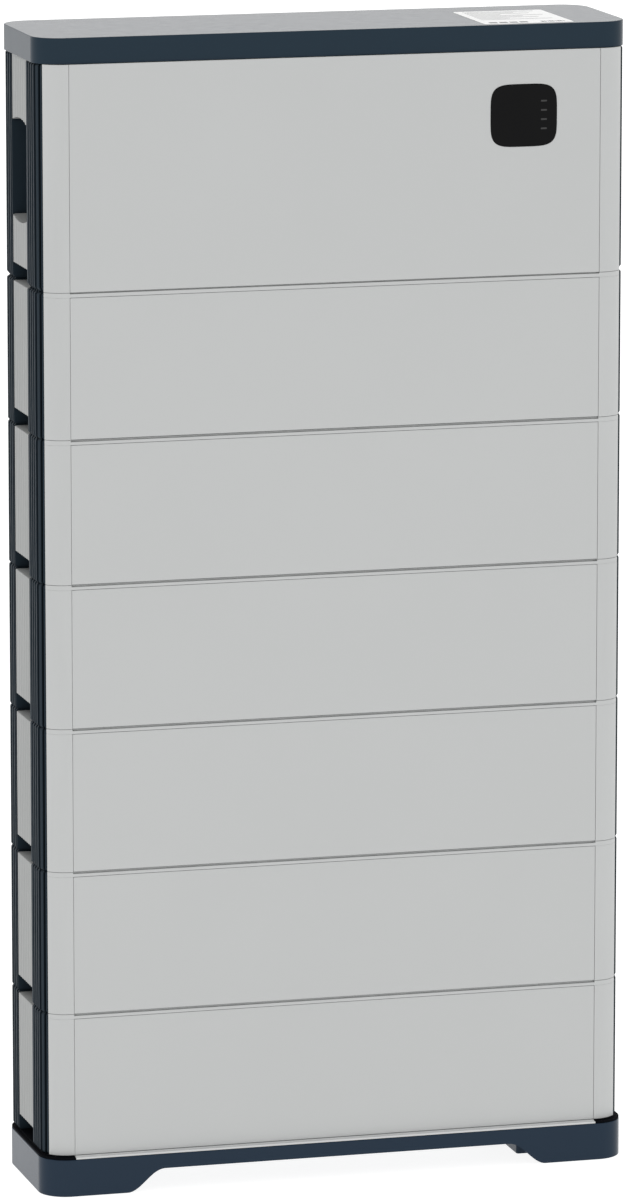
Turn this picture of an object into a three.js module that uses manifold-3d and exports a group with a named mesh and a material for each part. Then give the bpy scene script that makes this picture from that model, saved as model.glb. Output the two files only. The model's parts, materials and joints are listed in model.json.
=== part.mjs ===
// Floor-standing, wall-tied home battery: a slim stack of six battery modules under a
// power-and-control unit, between a slate plinth and a slate top cover.
// Millimetres, +Z up, -Y is the front, origin at the centre of the footprint on the floor.
import * as THREE from 'three';
import { mergeVertices } from 'three/addons/utils/BufferGeometryUtils.js';
import Module from 'manifold-3d';

const wasm = await Module();
wasm.setup();

// ---------------------------------------------------------------- driving dimensions
const MODULE_COUNT = 6;
const MODULE_PITCH = 155.4;      // height that each battery module adds to the stack
const STACK_BOTTOM = 44.2;       // underside of the lowest module
const TOP_STEP = 1.5;            // the highest module is this much taller than the others
const TOP_UNIT_HEIGHT = 240.9;
const JOINT_GAP = 0.4;           // hairline between two stacked units
const FIT_GAP = 0.4;             // clearance between pieces of one unit

const BODY_HALF_WIDTH = 323.4;
const BODY_FRONT = -86.7;
const BODY_BACK = 86.3;
const CORNER_RADIUS = 29.3;
const REAR_RADIUS = 22;

const SEAM_HALF = 291.5;         // vertical seams beside the front panel
const WRAP_ANGLE = THREE.MathUtils.degToRad(52);
const WRAP_THICKNESS = 6;
const RAIL_HEIGHT = 4.9;         // housing rail that shows above each front panel
const RAIL_DROP = 1.1;           // it stops this far below the corner wraps, for a shadow line
const PANEL_GAP = 0.4;           // groove between the rail and the panel below it
const PANEL_RISE = 0.2;          // the panels start this far above the housing's underside
const PANEL_THICKNESS = 3;
const WALL = 4;
const FLOOR_PLATE = 14;
const ROOF_PLATE = 6;

const MODULE_SIDE = 296;         // half width of a battery module's housing
const TOP_UNIT_SIDE = 272;       // the top unit is narrower, to leave room for the side bay
const WEB_FACE = 301;            // outer face of the web behind the side strips
const STRIP_FRONT = -27.5;       // the light side strip runs from here
const STRIP_BACK = 38.4;         // to here along Y
const GRIP_HEIGHT = 17.5;        // finger recess under each side strip
const LEDGE_DROP = 1.9;          // the strip's flat top lies this far below the module's top

const FIRST_GROOVE = 31;         // middle of the widest groove, along the corner from its start
const WIDE_GROOVE = 4.8;
const RIB_PITCH = 9;
const RIB_GROOVE = 4.4;
const GROOVE_DEPTH = 3.2;
const FLUTE_COUNT = 8;
const FLUTE_DEPTH = 2.6;

const BAY_BOTTOM = 1047.2;       // side bay of the top unit, at its corners
const BAY_TOP = 1148.2;
const BAY_BULGE = 5;             // its upper and lower edges are arcs that rise this much
const BAY_FLOOR = 278;           // distance of the bay's inner wall from the middle plane

const COVER = { width: 650, front: -84.9, back: 93.5, bottom: 1219, top: 1246.5, radius: 31 };
const PLINTH = { width: 653, front: -93.5, back: 87.7, top: 40.5, radius: 30.6 };
const NOTCH = { ceilingHalf: 193, floorHalf: 236, height: 24.7, bend: 5 };

const CORNER_STEPS = 8;

// How far the ribbed columns are chamfered at a joint: in depth, and up or down the column.
const COLUMN_CHAMFER = { depth: 1.7, height: 2.4 };
const TOP_JOINT = { upper: { depth: 3.6, height: 4.7 }, lower: { depth: 3.6, height: 2.6 } };

// ---------------------------------------------------------------- materials
function paint(color, roughness, metalness = 0) {
  return { color, roughness, metalness };
}

const FINISH = {
  panel: paint(0xc4c6c5, 0.45),
  housing: paint(0xc2c4c3, 0.5),
  strip: paint(0xb6b9b8, 0.5),
  tray: paint(0xd6d8d8, 0.45),
  endCap: paint(0x1b1f24, 0.45),
  slate: paint(0x303a45, 0.4),
  display: paint(0x1b1b1c, 0.12),
  cell: paint(0x2f5f96, 0.35),
  board: paint(0x1f5c3a, 0.5),
  steel: paint(0x9b9fa3, 0.35, 0.9),
  switchGear: paint(0x24272b, 0.4),
  button: paint(0xd0d3d4, 0.3),
};

const unit = new THREE.Group();

function addNode(name, manifold, finish) {
  const mesh = new THREE.Mesh(toGeometry(manifold), new THREE.MeshStandardMaterial(finish));
  mesh.name = name;
  unit.add(mesh);
}

// ---------------------------------------------------------------- solids
function solid(geometry) {
  const bare = geometry.clone();
  bare.deleteAttribute('normal');
  bare.deleteAttribute('uv');
  const merged = mergeVertices(bare, 1e-4);
  return new wasm.Manifold(new wasm.Mesh({
    numProp: 3,
    vertProperties: new Float32Array(merged.attributes.position.array),
    triVerts: new Uint32Array(merged.index.array),
  }));
}

function toGeometry(manifold) {
  const mesh = manifold.getMesh();
  const geometry = new THREE.BufferGeometry();
  geometry.setAttribute('position', new THREE.BufferAttribute(mesh.vertProperties, 3));
  geometry.setIndex(new THREE.BufferAttribute(mesh.triVerts, 1));
  return geometry;
}

// A plan outline, counter-clockwise from above, raised between two heights.
function prism(points, bottom, top) {
  const shape = new THREE.Shape(points.map(([x, y]) => new THREE.Vector2(x, y)));
  const geometry = new THREE.ExtrudeGeometry(shape, { depth: top - bottom, bevelEnabled: false });
  return solid(geometry.translate(0, 0, bottom));
}

function block(x0, x1, y0, y1, z0, z1) {
  const geometry = new THREE.BoxGeometry(x1 - x0, y1 - y0, z1 - z0);
  return solid(geometry.translate((x0 + x1) / 2, (y0 + y1) / 2, (z0 + z1) / 2));
}

function post(x, y, bottom, top, radius, sides = 16) {
  const geometry = new THREE.CylinderGeometry(radius, radius, top - bottom, sides);
  return solid(geometry.rotateX(Math.PI / 2).translate(x, y, (bottom + top) / 2));
}

// A round bar along X between two distances from the middle plane.
function bar(x0, x1, y, z, radius, sides = 20) {
  const geometry = new THREE.CylinderGeometry(radius, radius, Math.abs(x1 - x0), sides);
  return solid(geometry.rotateZ(Math.PI / 2).translate((x0 + x1) / 2, y, z));
}

function mirrored(points, side) {
  if (side > 0) return points;
  return points.map(([x, y]) => [-x, y]).reverse();
}

// ---------------------------------------------------------------- body outline
// The right half of the body's plan outline is walked by its length from the front centre:
// front, front corner, side, back corner. An inset moves the point into the body.
const ARC_START = BODY_HALF_WIDTH - CORNER_RADIUS;
const ARC_LENGTH = CORNER_RADIUS * Math.PI / 2;
const SIDE_LENGTH = BODY_BACK - BODY_FRONT - CORNER_RADIUS - REAR_RADIUS;
const SIDE_START = ARC_START + ARC_LENGTH;
const BACK_ARC = SIDE_START + SIDE_LENGTH;
const REAR_ARC_LENGTH = REAR_RADIUS * Math.PI / 2;
const REAR_CENTRE = BODY_HALF_WIDTH - REAR_RADIUS;

function rimPoint(s, inset) {
  if (s <= ARC_START) return [s, BODY_FRONT + inset];
  if (s <= SIDE_START) {
    const reach = CORNER_RADIUS - inset;
    const a = (s - ARC_START) / CORNER_RADIUS;
    return [ARC_START + reach * Math.sin(a), BODY_FRONT + CORNER_RADIUS - reach * Math.cos(a)];
  }
  if (s <= BACK_ARC) return [BODY_HALF_WIDTH - inset, BODY_FRONT + CORNER_RADIUS + s - SIDE_START];
  const reach = REAR_RADIUS - inset;
  const a = (s - BACK_ARC) / REAR_RADIUS;
  return [REAR_CENTRE + reach * Math.cos(a), BODY_BACK - REAR_RADIUS + reach * Math.sin(a)];
}

function sideStation(y) {
  return SIDE_START + y - BODY_FRONT - CORNER_RADIUS;
}

// Every station between two others at which a corner needs a point.
function stations(from, to) {
  const list = [from];
  for (const [start, length] of [[ARC_START, ARC_LENGTH], [BACK_ARC, REAR_ARC_LENGTH]]) {
    for (let i = 0; i <= CORNER_STEPS; i += 1) {
      const s = start + length * i / CORNER_STEPS;
      if (s > from + 0.5 && s < to - 0.5) list.push(s);
    }
  }
  list.push(to);
  return list;
}

function rimPath(from, to, inset) {
  return stations(from, to).map((s) => rimPoint(s, inset));
}

// The same walk with grooves cut into it, each given by its middle and its width.
function ribbedPath(from, to, grooves) {
  const slope = 0.5;
  const marks = stations(from, to).map((s) => [s, 0]);
  const clear = marks.filter(([s]) => grooves.every(([c, w]) => Math.abs(s - c) > w / 2 + 0.3));
  for (const [middle, width] of grooves) {
    clear.push([middle - width / 2, 0], [middle - width / 2 + slope, GROOVE_DEPTH]);
    clear.push([middle + width / 2 - slope, GROOVE_DEPTH], [middle + width / 2, 0]);
  }
  clear.sort((a, b) => a[0] - b[0]);
  return clear.map(([s, inset]) => rimPoint(s, inset));
}

const WRAP_END = ARC_START + CORNER_RADIUS * WRAP_ANGLE;
const STRIP_FROM = sideStation(STRIP_FRONT);
const STRIP_TO = sideStation(STRIP_BACK);

// ---------------------------------------------------------------- unit housing
// Where the inner face of the corner wrap meets a housing side at a given half width.
function wrapRoot(halfWidth, inset) {
  if (halfWidth <= ARC_START) return halfWidth;
  return ARC_START + CORNER_RADIUS * Math.asin((halfWidth - ARC_START) / (CORNER_RADIUS - inset));
}

function housingOutline(halfWidth) {
  const right = [
    ...rimPath(SEAM_HALF, WRAP_END, 0),
    ...rimPath(wrapRoot(halfWidth, WRAP_THICKNESS), WRAP_END, WRAP_THICKNESS).reverse(),
    [halfWidth, BODY_BACK],
  ];
  return [...right, ...mirrored(right, -1)];
}

const DOWEL = { x: 200, y: 0, radius: 12, height: 9 };
const PLUG = { halfX: 45, halfY: 13 };

// Two dowels and a blind-mating plug on the roof of a unit, for the one above it.
function stackingBosses(top) {
  const height = DOWEL.height;
  const root = top - 1;
  let bosses = block(-PLUG.halfX, PLUG.halfX, -PLUG.halfY, PLUG.halfY, root, top + height);
  for (const side of [-1, 1]) {
    bosses = bosses.add(post(side * DOWEL.x, DOWEL.y, root, top + height, DOWEL.radius));
  }
  return bosses;
}

// The sockets in the underside that take them.
function stackingSockets(bottom) {
  const play = 0.8;
  const ceiling = bottom - JOINT_GAP + DOWEL.height + FIT_GAP;
  const x = PLUG.halfX + play;
  const y = PLUG.halfY + play;
  let sockets = block(-x, x, -y, y, bottom - 1, ceiling);
  for (const side of [-1, 1]) {
    sockets = sockets.add(post(side * DOWEL.x, DOWEL.y, bottom - 1, ceiling, DOWEL.radius + play));
  }
  return sockets;
}

// The front panel's seat ends below the rail; a unit whose panel reaches its top has no rail.
function housing(halfWidth, bottom, top, panelTop) {
  const seat = BODY_FRONT + PANEL_THICKNESS + FIT_GAP;
  const inner = Math.min(halfWidth - WALL, SEAM_HALF - 8);
  const front = BODY_FRONT - 1;
  const seatTop = panelTop === top ? top + 1 : panelTop + PANEL_GAP;
  const panelSeat = block(-SEAM_HALF, SEAM_HALF, front, seat, bottom - 1, seatTop);
  const shadowStep = block(-SEAM_HALF, SEAM_HALF, front, seat, top - RAIL_DROP, top + 1);
  const cavity = block(-inner, inner, front, BODY_BACK - WALL, bottom + FLOOR_PLATE, top - ROOF_PLATE);
  return prism(housingOutline(halfWidth), bottom, top)
    .subtract(panelSeat)
    .subtract(shadowStep)
    .subtract(cavity)
    .add(stackingBosses(top))
    .subtract(stackingSockets(bottom));
}

function frontPanel(bottom, panelTop) {
  const halfWidth = SEAM_HALF - FIT_GAP;
  const back = BODY_FRONT + PANEL_THICKNESS;
  return block(-halfWidth, halfWidth, BODY_FRONT, back, bottom + PANEL_RISE, panelTop);
}

// ---------------------------------------------------------------- sides
// Black end cap: a ribbed front column, a web behind the side strip and a ribbed rear column.
function endCapOutline(innerHalf) {
  const start = WRAP_END + 0.6;
  const grooves = [[ARC_START + FIRST_GROOVE, WIDE_GROOVE]];
  for (let s = grooves[0][0] + RIB_PITCH; s < STRIP_FROM - RIB_GROOVE / 2; s += RIB_PITCH) {
    grooves.push([s, RIB_GROOVE]);
  }
  const inner = innerHalf + FIT_GAP;
  const rearEnd = BACK_ARC + REAR_RADIUS * Math.acos(Math.max(inner - REAR_CENTRE, 0) / REAR_RADIUS);
  const rearGrooves = [];
  for (let s = STRIP_TO + RIB_PITCH / 2; s < rearEnd - RIB_PITCH / 2; s += RIB_PITCH) {
    rearGrooves.push([s, RIB_GROOVE]);
  }
  const lining = WRAP_THICKNESS + FIT_GAP;
  return [
    ...rimPath(wrapRoot(inner, lining), start, lining),
    ...ribbedPath(start, STRIP_FROM, grooves),
    [WEB_FACE, STRIP_FRONT],
    [WEB_FACE, STRIP_BACK],
    ...ribbedPath(STRIP_TO, rearEnd, rearGrooves),
    [inner - 0.01, BODY_BACK],
  ];
}

// Light side strip: a block with shallow rounded flutes down its outer face.
function stripOutline() {
  const from = STRIP_FROM + FIT_GAP;
  const to = STRIP_TO - FIT_GAP;
  const perFlute = 4;
  const points = [];
  for (let i = 0; i <= FLUTE_COUNT * perFlute; i += 1) {
    const inset = FLUTE_DEPTH * (1 - Math.cos(2 * Math.PI * i / perFlute)) / 2;
    points.push(rimPoint(from + (to - from) * i / (FLUTE_COUNT * perFlute), inset));
  }
  const back = WEB_FACE + FIT_GAP;
  return [...points, [back, STRIP_BACK - FIT_GAP], [back, STRIP_FRONT + FIT_GAP]];
}

// A shallow arc across the strip's width, as a round bar that cuts its end.
function scoop(side, edge, depth, upwards) {
  const half = (STRIP_BACK - STRIP_FRONT) / 2;
  const radius = (half * half + depth * depth) / (2 * depth);
  const middle = (STRIP_FRONT + STRIP_BACK) / 2;
  const height = upwards ? edge + depth - radius : edge - depth + radius;
  const facets = 64;
  return bar(side * (WEB_FACE - 5), side * (BODY_HALF_WIDTH + 5), middle, height, radius, facets);
}

function sideStrip(side, bottom, top) {
  return prism(mirrored(stripOutline(), side), bottom, top);
}

// The body's whole outline between two heights, drawn in at both ends. It is convex.
function chamferedBody(bottom, top, low, high) {
  const rim = (inset) => {
    const right = rimPath(0, BACK_ARC + REAR_ARC_LENGTH, inset);
    return [...right, ...mirrored(right, -1)];
  };
  const rings = [
    [bottom, rim(low.depth)],
    [bottom + low.height, rim(0)],
    [top - high.height, rim(0)],
    [top, rim(high.depth)],
  ];
  return wasm.Manifold.hull(rings.flatMap(([z, ring]) => ring.map(([x, y]) => [x, y, z])));
}

function endCap(side, innerHalf, bottom, top, low = COLUMN_CHAMFER, high = COLUMN_CHAMFER) {
  const column = prism(mirrored(endCapOutline(innerHalf), side), bottom, top);
  return column.intersect(chamferedBody(bottom, top, low, high));
}

const SIDES = [['left', -1], ['right', 1]];

// ---------------------------------------------------------------- battery modules
// Prismatic cells in a row, clamped as one pack.
const PACK = { cells: 10, halfWidth: 276, front: -79, back: 78, groove: 1.5, grooveDepth: 4, headroom: 8 };

function cellPack(bottom, top) {
  const { halfWidth, front, back, groove } = PACK;
  const pitch = 2 * halfWidth / PACK.cells;
  const edge = [];
  for (let i = 0; i < PACK.cells; i += 1) {
    const x = -halfWidth + i * pitch;
    edge.push([x + groove, front], [x + pitch - groove, front]);
    if (i < PACK.cells - 1) edge.push([x + pitch, front + PACK.grooveDepth]);
  }
  const outline = [...edge, [halfWidth - groove, back], [groove - halfWidth, back]];
  return prism(outline, bottom + FLOOR_PLATE + FIT_GAP, top - ROOF_PLATE - PACK.headroom);
}

function addModule(number) {
  const highest = number === MODULE_COUNT;
  const bottom = STACK_BOTTOM + (number - 1) * MODULE_PITCH;
  const top = bottom + MODULE_PITCH + (highest ? TOP_STEP : 0) - JOINT_GAP;
  const name = `module_${number}`;
  const panelTop = top - RAIL_HEIGHT - PANEL_GAP;
  const capTop = highest ? TOP_JOINT.lower : COLUMN_CHAMFER;
  addNode(`${name}_housing`, housing(MODULE_SIDE, bottom, top, panelTop), FINISH.housing);
  addNode(`${name}_front_panel`, frontPanel(bottom, panelTop), FINISH.panel);
  addNode(`${name}_cell_pack`, cellPack(bottom, top), FINISH.cell);
  for (const [label, side] of SIDES) {
    const cap = endCap(side, MODULE_SIDE, bottom, top, COLUMN_CHAMFER, capTop);
    const strip = sideStrip(side, bottom + GRIP_HEIGHT, top - LEDGE_DROP);
    addNode(`${name}_${label}_end_cap`, cap, FINISH.endCap);
    addNode(`${name}_${label}_strip`, strip, FINISH.strip);
  }
}

// ---------------------------------------------------------------- top unit
const UNIT_BOTTOM = STACK_BOTTOM + MODULE_COUNT * MODULE_PITCH + TOP_STEP;
const UNIT_TOP = UNIT_BOTTOM + TOP_UNIT_HEIGHT - JOINT_GAP;

const DISPLAY = { x: 206, z: 1149.5, halfWidth: 36.6, halfHeight: 33.2, power: 4.5, proud: 0.5 };

// A squircle plate across Y, for the display and for the window it sits in.
function squircle(grow, y0, y1) {
  const count = 40;
  const bend = (t) => Math.sign(t) * Math.abs(t) ** (2 / DISPLAY.power);
  const points = [];
  for (let i = 0; i < count; i += 1) {
    const a = 2 * Math.PI * i / count;
    const x = bend(Math.cos(a)) * (DISPLAY.halfWidth + grow);
    const z = bend(Math.sin(a)) * (DISPLAY.halfHeight + grow);
    points.push(new THREE.Vector2(x, z));
  }
  const plate = { depth: y1 - y0, bevelEnabled: false };
  const geometry = new THREE.ExtrudeGeometry(new THREE.Shape(points), plate);
  return solid(geometry.rotateX(Math.PI / 2).translate(DISPLAY.x, y1, DISPLAY.z));
}

// Circuit board behind the display. What stands on its back is placed from its lower left corner.
const BOARD = { left: 60, bottom: UNIT_BOTTOM + 32, width: 195, height: 180, front: -66, thickness: 2 };
const HEAT_SINK = { x: 15, z: 30, width: 60, height: 110, plate: 5, depth: 30, fins: 7, fin: 3 };
const RELAY = { x: 90, z: 20, width: 50, height: 40, depth: 22 };
const CAPACITOR = { x: 115, zs: [80, 116], radius: 14, depth: 26 };

function onBoard({ x, z, width, height, depth }) {
  const left = BOARD.left + x;
  const low = BOARD.bottom + z;
  const back = BOARD.front + BOARD.thickness;
  return block(left, left + width, back - 1, back + depth, low, low + height);
}

function controlBoard() {
  const { left, bottom, width, height, front, thickness } = BOARD;
  const back = front + thickness;
  let board = block(left, left + width, front, back, bottom, bottom + height);
  board = board.add(onBoard(RELAY)).add(onBoard({ ...HEAT_SINK, depth: HEAT_SINK.plate }));
  const finPitch = (HEAT_SINK.width - HEAT_SINK.fin) / (HEAT_SINK.fins - 1);
  for (let i = 0; i < HEAT_SINK.fins; i += 1) {
    board = board.add(onBoard({ ...HEAT_SINK, x: HEAT_SINK.x + i * finPitch, width: HEAT_SINK.fin }));
  }
  for (const z of CAPACITOR.zs) {
    const can = new THREE.CylinderGeometry(CAPACITOR.radius, CAPACITOR.radius, CAPACITOR.depth + 1, 20);
    can.translate(left + CAPACITOR.x, back + (CAPACITOR.depth - 1) / 2, bottom + z);
    board = board.add(solid(can));
  }
  return board;
}

// The bay plate carries the direct-current sockets, the communication ports and the hole in
// which the power button travels. Distances out of the bay are measured from its inner wall.
const PLATE_OUT = BAY_FLOOR + 10;
const PLATE_MARGIN = 1.5;
const BAY_MIDDLE = (STRIP_FRONT + STRIP_BACK) / 2;
const SOCKETS = { z: 1062, spread: 17, radius: 8.5, wall: 3.5, length: 14, depth: 3 };
const PORTS = { zs: [1122, 1138], y: BAY_MIDDLE + 14, halfWidth: 7, halfHeight: 6, depth: 3 };
const BUTTON = { y: BAY_MIDDLE - 16, z: 1130, radius: 9, proud: 3, root: 5, play: 0.5 };
const ISOLATOR = { y: BAY_MIDDLE, z: 1096, half: 19, depth: 9 };
const HANDLE = { hubRadius: 16, hub: 5, gripHalfWidth: 5, gripHalfLength: 15, reach: 14 };

function connectorPanel() {
  const back = BAY_FLOOR + FIT_GAP;
  const front = STRIP_FRONT + PLATE_MARGIN;
  const rear = STRIP_BACK - PLATE_MARGIN;
  let panel = block(-PLATE_OUT, -back, front, rear, BAY_BOTTOM - PLATE_MARGIN, BAY_TOP + PLATE_MARGIN);
  const mouth = PLATE_OUT + SOCKETS.length;
  for (const y of [BAY_MIDDLE - SOCKETS.spread, BAY_MIDDLE + SOCKETS.spread]) {
    const bore = bar(-mouth - 1, SOCKETS.depth - mouth, y, SOCKETS.z, SOCKETS.radius - SOCKETS.wall);
    panel = panel.add(bar(-mouth, 1 - PLATE_OUT, y, SOCKETS.z, SOCKETS.radius)).subtract(bore);
  }
  for (const z of PORTS.zs) {
    const [y0, y1] = [PORTS.y - PORTS.halfWidth, PORTS.y + PORTS.halfWidth];
    const [z0, z1] = [z - PORTS.halfHeight, z + PORTS.halfHeight];
    panel = panel.subtract(block(-PLATE_OUT - 1, PORTS.depth - PLATE_OUT, y0, y1, z0, z1));
  }
  return panel.subtract(bar(-PLATE_OUT - 1, 1 - back, BUTTON.y, BUTTON.z, BUTTON.radius + BUTTON.play));
}

function powerButton() {
  return bar(-PLATE_OUT - BUTTON.proud, BUTTON.root - PLATE_OUT, BUTTON.y, BUTTON.z, BUTTON.radius);
}

// Rotary direct-current isolator: a square body and a handle that turns on its front.
const ISOLATOR_BACK = PLATE_OUT + FIT_GAP;
const ISOLATOR_OUT = ISOLATOR_BACK + ISOLATOR.depth;

function isolatorBody() {
  const { y, z, half } = ISOLATOR;
  return block(-ISOLATOR_OUT, -ISOLATOR_BACK, y - half, y + half, z - half, z + half);
}

function isolatorHandle() {
  const { y, z } = ISOLATOR;
  const { hub, hubRadius, gripHalfWidth: across, gripHalfLength: along } = HANDLE;
  const inner = ISOLATOR_OUT + FIT_GAP;
  const grip = block(-inner - HANDLE.reach, 1 - inner - hub, y - across, y + across, z - along, z + along);
  return bar(-inner - hub, -inner, y, z, hubRadius, 28).add(grip);
}

function addTopUnit() {
  const bottom = UNIT_BOTTOM;
  const top = UNIT_TOP;
  const glassBack = BODY_FRONT + PANEL_THICKNESS;
  const window = squircle(FIT_GAP, BODY_FRONT - 1, glassBack + 1);
  addNode('top_unit_housing', housing(TOP_UNIT_SIDE, bottom, top, top), FINISH.housing);
  addNode('top_unit_front_panel', frontPanel(bottom, top).subtract(window), FINISH.panel);
  addNode('display_window', squircle(0, BODY_FRONT - DISPLAY.proud, glassBack), FINISH.display);
  addNode('control_board', controlBoard(), FINISH.board);

  const bayLow = BAY_BOTTOM - BAY_BULGE;
  const bay = block(-BODY_HALF_WIDTH, -BAY_FLOOR, STRIP_FRONT, STRIP_BACK, bayLow, BAY_TOP + BAY_BULGE);
  const cap = (side) => endCap(side, TOP_UNIT_SIDE, bottom, top, TOP_JOINT.upper, COLUMN_CHAMFER);
  const gripTop = bottom + GRIP_HEIGHT;
  const upper = sideStrip(-1, BAY_TOP, top).subtract(scoop(-1, BAY_TOP, BAY_BULGE, true));
  const lower = sideStrip(-1, gripTop, BAY_BOTTOM).subtract(scoop(-1, BAY_BOTTOM, BAY_BULGE, false));
  addNode('top_unit_left_end_cap', cap(-1).subtract(bay), FINISH.endCap);
  addNode('top_unit_left_upper_strip', upper, FINISH.strip);
  addNode('top_unit_left_lower_strip', lower, FINISH.strip);
  addNode('top_unit_right_end_cap', cap(1), FINISH.endCap);
  addNode('top_unit_right_strip', sideStrip(1, gripTop, top), FINISH.strip);

  addNode('connector_panel', connectorPanel(), FINISH.switchGear);
  addNode('power_button', powerButton(), FINISH.button);
  addNode('isolator_body', isolatorBody(), FINISH.switchGear);
  addNode('isolator_handle', isolatorHandle(), FINISH.switchGear);
}

// ---------------------------------------------------------------- cover, plinth, bracket
function roundedOutline({ width, front, back, radius }, inset) {
  const r = radius - inset;
  const points = [];
  const cx = width / 2 - radius;
  const corners = [
    [cx, front + radius, -Math.PI / 2],
    [cx, back - radius, 0],
    [-cx, back - radius, Math.PI / 2],
    [-cx, front + radius, Math.PI],
  ];
  const steps = 8;
  for (const [x, y, start] of corners) {
    for (let i = 0; i <= steps; i += 1) {
      const a = start + Math.PI / 2 * i / steps;
      points.push([x + r * Math.cos(a), y + r * Math.sin(a)]);
    }
  }
  return points;
}

// A shallow lid with a chamfered upper edge, hollow underneath.
function topCover() {
  const edge = 1;
  const levels = [[COVER.bottom, 0], [COVER.top - edge, 0], [COVER.top, edge]];
  const ring = ([z, inset]) => roundedOutline(COVER, inset).map(([x, y]) => [x, y, z]);
  const lid = wasm.Manifold.hull(levels.flatMap(ring));
  const hollow = prism(roundedOutline(COVER, WALL), COVER.bottom - 1, COVER.top - WALL);
  return lid.subtract(hollow);
}

// The wide notch under the plinth has S-shaped flanks, drawn across X and cut along Y.
function notch() {
  const { ceilingHalf, floorHalf, height, bend } = NOTCH;
  const near = (ceilingHalf + floorHalf) / 2 - bend;
  const far = near + 2 * bend;
  const shape = new THREE.Shape();
  shape.moveTo(-floorHalf, -1);
  shape.lineTo(floorHalf, -1);
  shape.lineTo(floorHalf, 0);
  shape.bezierCurveTo(far, 0, near, height, ceilingHalf, height);
  shape.lineTo(-ceilingHalf, height);
  shape.bezierCurveTo(-near, height, -far, 0, -floorHalf, 0);
  const depth = PLINTH.back - PLINTH.front + 4;
  const geometry = new THREE.ExtrudeGeometry(shape, { depth, bevelEnabled: false, curveSegments: 6 });
  return solid(geometry.rotateX(Math.PI / 2).translate(0, PLINTH.back + 2, 0));
}

const DECK = { bottom: 28, top: 34 };
const FOOT = { inner: 216, front: -47 };

// Slate plinth: a rim wall, a deck inside it that carries the stack, and a foot block at each end.
function basePlinth() {
  const outer = prism(roundedOutline(PLINTH, 0), 0, PLINTH.top);
  const inside = roundedOutline(PLINTH, WALL);
  const pocket = prism(inside, DECK.top, PLINTH.top + 1);
  const underside = prism(inside, -1, DECK.bottom);
  let plinth = outer.subtract(pocket).subtract(underside).subtract(notch());
  const footBack = PLINTH.back - CORNER_RADIUS;
  for (const side of [-1, 1]) {
    const ends = [side * FOOT.inner, side * (PLINTH.width / 2 - WALL + 1)].sort((a, b) => a - b);
    plinth = plinth.add(block(...ends, FOOT.front, footBack, 0, DECK.bottom + 1));
  }
  return plinth;
}

// Light tray on the deck. Its front lip lies over the plinth's rim between the seams.
const TRAY_BACK = 62;
const TRAY_TOP = STACK_BOTTOM - JOINT_GAP;
const DECK_GAP = 0.3;
const LIP_SETBACK = 0.3;
const LIP_DROP = 0.9;            // the lip is this much lower than the tray's top

function baseTray() {
  const lipBottom = PLINTH.top + DECK_GAP;
  const half = SEAM_HALF;
  const rim = PLINTH.front + WALL;
  const body = block(-half, half, rim + FIT_GAP, TRAY_BACK, DECK.top + DECK_GAP, TRAY_TOP);
  const lipTop = TRAY_TOP - LIP_DROP;
  const lip = block(-half, half, PLINTH.front + LIP_SETBACK, rim + 1, lipBottom, lipTop);
  return body.add(lip).add(stackingBosses(TRAY_TOP));
}

// Black surround that fills the plinth's rounded ends and the space behind the tray. Its flange
// lies over the plinth's rim, level with the tray's lip.
function baseSurround() {
  const half = SEAM_HALF + FIT_GAP;
  const inside = prism(roundedOutline(PLINTH, WALL + FIT_GAP), DECK.top + DECK_GAP, TRAY_TOP);
  const flange = prism(roundedOutline(PLINTH, LIP_SETBACK), PLINTH.top + DECK_GAP, TRAY_TOP - LIP_DROP);
  const trayRoom = block(-half, half, PLINTH.front, TRAY_BACK + FIT_GAP, 0, PLINTH.top + WALL);
  return inside.add(flange).subtract(trayRoom);
}

// Folded steel bracket: it is screwed to the back of the top unit and steps out to the wall,
// where it has two holes for the wall screws.
const BRACKET = { halfWidth: 170, bottom: 1085, fold: 1128, top: 1175, thickness: 2, step: 4 };
const WALL_HOLES = { x: 120, z: 1155, radius: 4.5 };

function wallBracket() {
  const { halfWidth, bottom, fold, top, thickness, step } = BRACKET;
  const near = BODY_BACK + FIT_GAP;
  const wall = COVER.back;
  const section = new THREE.Shape();
  section.moveTo(near, bottom);
  section.lineTo(near + thickness, bottom);
  section.lineTo(near + thickness, fold);
  section.lineTo(wall, fold + step);
  section.lineTo(wall, top);
  section.lineTo(wall - thickness, top);
  section.lineTo(wall - thickness, fold + step + 1);
  section.lineTo(near, fold + 1);
  const sheet = new THREE.ExtrudeGeometry(section, { depth: 2 * halfWidth, bevelEnabled: false });
  let bracket = solid(sheet.rotateX(Math.PI / 2).rotateZ(Math.PI / 2).translate(-halfWidth, 0, 0));
  for (const side of [-1, 1]) {
    const hole = new THREE.CylinderGeometry(WALL_HOLES.radius, WALL_HOLES.radius, 5 * thickness, 16);
    bracket = bracket.subtract(solid(hole.translate(side * WALL_HOLES.x, wall - thickness, WALL_HOLES.z)));
  }
  return bracket;
}

// ---------------------------------------------------------------- assembly
addNode('base_plinth', basePlinth(), FINISH.slate);
addNode('base_tray', baseTray(), FINISH.tray);
addNode('base_surround', baseSurround(), FINISH.endCap);
for (let number = 1; number <= MODULE_COUNT; number += 1) addModule(number);
addTopUnit();
addNode('wall_bracket', wallBracket(), FINISH.steel);
addNode('top_cover', topCover(), FINISH.slate);

export default unit;
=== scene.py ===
"""Looks of the wall battery unit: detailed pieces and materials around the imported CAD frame.

Metres, the CAD's frame: +Z up, -Y is the front. Places come from the frame's own boxes.
"""

import json
import math

import bmesh
import bpy
from mathutils import Matrix, Vector


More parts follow.
